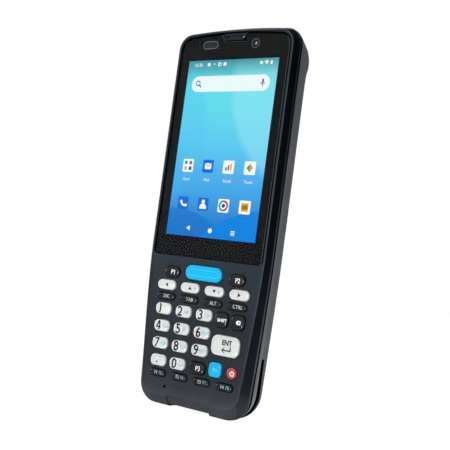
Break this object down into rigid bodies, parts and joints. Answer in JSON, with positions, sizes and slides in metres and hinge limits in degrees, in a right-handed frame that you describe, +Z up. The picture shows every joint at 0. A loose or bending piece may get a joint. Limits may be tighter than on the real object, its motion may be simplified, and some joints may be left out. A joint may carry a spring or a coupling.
{
  "type": "portable barcode data terminal",
  "caption": "Slim upright handheld scanner terminal: flush touch screen over a keypad, scan window in a sloped head, hinged battery door on the back.",
  "frame": {"origin": "middle of the lower end, on the surface it stands on", "axes": "+Z up the body towards the scanner head, the screen and keys face -Y, +X is the user's right"},
  "size_m": [0.068, 0.0202, 0.1868],
  "materials": {
    "front_shell": "fine moulded texture, satin black-grey",
    "rear_shell": "spark-eroded texture, matt dark grey",
    "seal": "soft black seal",
    "cast_alloy": "die-cast, matt",
    "cover_glass": "polished toughened glass",
    "display": "lit display",
    "black_trim": "moulded, matt black",
    "inner_black": "moulded, black",
    "lens_black": "polished black acrylic",
    "red_window": "polished dark red acrylic",
    "contact_metal": "gold plated",
    "silicone": "moulded silicone",
    "steel": "stamped steel",
    "circuit_board": "green solder mask",
    "battery_pack": "aluminium cell wrapped in black film",
    "silver_key": "painted light grey, clear coated",
    "black_key": "gloss black cap",
    "blue_key": "gloss blue cap",
    "red_key": "gloss red cap"
  },
  "bodies": {
    "housing": {"front_housing": "front_shell", "rear_housing": "rear_shell", "housing_gasket": "seal", "mid_frame": "cast_alloy", "cover_glass": "cover_glass", "lcd_module": "display", "receiver_grille": "black_trim", "earpiece": "inner_black", "front_camera": "inner_black", "sensor_window": "lens_black", "microphone": "contact_metal", "keypad_mat": "silicone", "dome_sheet": "steel", "keypad_board": "circuit_board", "main_board": "circuit_board", "card_holder": "steel", "scan_engine": "inner_black", "scan_window": "red_window", "rear_camera": "inner_black", "camera_window": "lens_black", "loudspeaker": "inner_black", "vibration_motor": "steel", "battery": "battery_pack", "battery_contacts": "contact_metal", "usb_socket": "steel", "connector_board": "circuit_board", "housing_screws": "steel"},
    "battery_door": {"battery_door": "rear_shell"},
    "key_p1": {"key_p1": "black_key"},
    "key_p2": {"key_p2": "black_key"},
    "key_scan": {"key_scan": "blue_key"},
    "key_left": {"key_left": "silver_key"},
    "key_up": {"key_up": "silver_key"},
    "key_down": {"key_down": "silver_key"},
    "key_right": {"key_right": "silver_key"},
    "key_esc": {"key_esc": "black_key"},
    "key_tab": {"key_tab": "black_key"},
    "key_alt": {"key_alt": "black_key"},
    "key_ctrl": {"key_ctrl": "black_key"},
    "key_1": {"key_1": "silver_key"},
    "key_2": {"key_2": "silver_key"},
    "key_3": {"key_3": "silver_key"},
    "key_4": {"key_4": "silver_key"},
    "key_5": {"key_5": "silver_key"},
    "key_6": {"key_6": "silver_key"},
    "key_7": {"key_7": "silver_key"},
    "key_8": {"key_8": "silver_key"},
    "key_9": {"key_9": "silver_key"},
    "key_dot": {"key_dot": "silver_key"},
    "key_0": {"key_0": "silver_key"},
    "key_p3": {"key_p3": "black_key"},
    "key_shift": {"key_shift": "black_key"},
    "key_backspace": {"key_backspace": "black_key"},
    "key_enter": {"key_enter": "silver_key"},
    "key_fn": {"key_fn": "blue_key"},
    "key_power": {"key_power": "red_key"},
    "key_f1": {"key_f1": "black_key"},
    "key_f2": {"key_f2": "black_key"},
    "key_f3": {"key_f3": "black_key"},
    "key_f4": {"key_f4": "black_key"}
  },
  "joints": [
    {"name": "battery_door_hinge", "type": "hinge", "parent": "housing", "child": "battery_door", "pos_m": [-0.0328, 0.0057, 0.093], "axis": [0, 0, 1], "range_deg": [0, 70]},
    {"name": "key_p1_press", "type": "slide", "parent": "housing", "child": "key_p1", "axis": [0, 1, 0], "range_m": [0, 0.0007], "stiffness_N_per_m": 1500},
    {"name": "key_p2_press", "type": "slide", "parent": "housing", "child": "key_p2", "axis": [0, 1, 0], "range_m": [0, 0.0007], "stiffness_N_per_m": 1500},
    {"name": "key_scan_press", "type": "slide", "parent": "housing", "child": "key_scan", "axis": [0, 1, 0], "range_m": [0, 0.0007], "stiffness_N_per_m": 1500},
    {"name": "key_left_press", "type": "slide", "parent": "housing", "child": "key_left", "axis": [0, 1, 0], "range_m": [0, 0.0007], "stiffness_N_per_m": 1500},
    {"name": "key_up_press", "type": "slide", "parent": "housing", "child": "key_up", "axis": [0, 1, 0], "range_m": [0, 0.0007], "stiffness_N_per_m": 1500},
    {"name": "key_down_press", "type": "slide", "parent": "housing", "child": "key_down", "axis": [0, 1, 0], "range_m": [0, 0.0007], "stiffness_N_per_m": 1500},
    {"name": "key_right_press", "type": "slide", "parent": "housing", "child": "key_right", "axis": [0, 1, 0], "range_m": [0, 0.0007], "stiffness_N_per_m": 1500},
    {"name": "key_esc_press", "type": "slide", "parent": "housing", "child": "key_esc", "axis": [0, 1, 0], "range_m": [0, 0.0007], "stiffness_N_per_m": 1500},
    {"name": "key_tab_press", "type": "slide", "parent": "housing", "child": "key_tab", "axis": [0, 1, 0], "range_m": [0, 0.0007], "stiffness_N_per_m": 1500},
    {"name": "key_alt_press", "type": "slide", "parent": "housing", "child": "key_alt", "axis": [0, 1, 0], "range_m": [0, 0.0007], "stiffness_N_per_m": 1500},
    {"name": "key_ctrl_press", "type": "slide", "parent": "housing", "child": "key_ctrl", "axis": [0, 1, 0], "range_m": [0, 0.0007], "stiffness_N_per_m": 1500},
    {"name": "key_1_press", "type": "slide", "parent": "housing", "child": "key_1", "axis": [0, 1, 0], "range_m": [0, 0.0007], "stiffness_N_per_m": 1500},
    {"name": "key_2_press", "type": "slide", "parent": "housing", "child": "key_2", "axis": [0, 1, 0], "range_m": [0, 0.0007], "stiffness_N_per_m": 1500},
    {"name": "key_3_press", "type": "slide", "parent": "housing", "child": "key_3", "axis": [0, 1, 0], "range_m": [0, 0.0007], "stiffness_N_per_m": 1500},
    {"name": "key_4_press", "type": "slide", "parent": "housing", "child": "key_4", "axis": [0, 1, 0], "range_m": [0, 0.0007], "stiffness_N_per_m": 1500},
    {"name": "key_5_press", "type": "slide", "parent": "housing", "child": "key_5", "axis": [0, 1, 0], "range_m": [0, 0.0007], "stiffness_N_per_m": 1500},
    {"name": "key_6_press", "type": "slide", "parent": "housing", "child": "key_6", "axis": [0, 1, 0], "range_m": [0, 0.0007], "stiffness_N_per_m": 1500},
    {"name": "key_7_press", "type": "slide", "parent": "housing", "child": "key_7", "axis": [0, 1, 0], "range_m": [0, 0.0007], "stiffness_N_per_m": 1500},
    {"name": "key_8_press", "type": "slide", "parent": "housing", "child": "key_8", "axis": [0, 1, 0], "range_m": [0, 0.0007], "stiffness_N_per_m": 1500},
    {"name": "key_9_press", "type": "slide", "parent": "housing", "child": "key_9", "axis": [0, 1, 0], "range_m": [0, 0.0007], "stiffness_N_per_m": 1500},
    {"name": "key_dot_press", "type": "slide", "parent": "housing", "child": "key_dot", "axis": [0, 1, 0], "range_m": [0, 0.0007], "stiffness_N_per_m": 1500},
    {"name": "key_0_press", "type": "slide", "parent": "housing", "child": "key_0", "axis": [0, 1, 0], "range_m": [0, 0.0007], "stiffness_N_per_m": 1500},
    {"name": "key_p3_press", "type": "slide", "parent": "housing", "child": "key_p3", "axis": [0, 1, 0], "range_m": [0, 0.0007], "stiffness_N_per_m": 1500},
    {"name": "key_shift_press", "type": "slide", "parent": "housing", "child": "key_shift", "axis": [0, 1, 0], "range_m": [0, 0.0007], "stiffness_N_per_m": 1500},
    {"name": "key_backspace_press", "type": "slide", "parent": "housing", "child": "key_backspace", "axis": [0, 1, 0], "range_m": [0, 0.0007], "stiffness_N_per_m": 1500},
    {"name": "key_enter_press", "type": "slide", "parent": "housing", "child": "key_enter", "axis": [0, 1, 0], "range_m": [0, 0.0007], "stiffness_N_per_m": 1500},
    {"name": "key_fn_press", "type": "slide", "parent": "housing", "child": "key_fn", "axis": [0, 1, 0], "range_m": [0, 0.0007], "stiffness_N_per_m": 1500},
    {"name": "key_power_press", "type": "slide", "parent": "housing", "child": "key_power", "axis": [0, 1, 0], "range_m": [0, 0.0007], "stiffness_N_per_m": 1500},
    {"name": "key_f1_press", "type": "slide", "parent": "housing", "child": "key_f1", "axis": [0, 1, 0], "range_m": [0, 0.0007], "stiffness_N_per_m": 1500},
    {"name": "key_f2_press", "type": "slide", "parent": "housing", "child": "key_f2", "axis": [0, 1, 0], "range_m": [0, 0.0007], "stiffness_N_per_m": 1500},
    {"name": "key_f3_press", "type": "slide", "parent": "housing", "child": "key_f3", "axis": [0, 1, 0], "range_m": [0, 0.0007], "stiffness_N_per_m": 1500},
    {"name": "key_f4_press", "type": "slide", "parent": "housing", "child": "key_f4", "axis": [0, 1, 0], "range_m": [0, 0.0007], "stiffness_N_per_m": 1500}
  ]
}
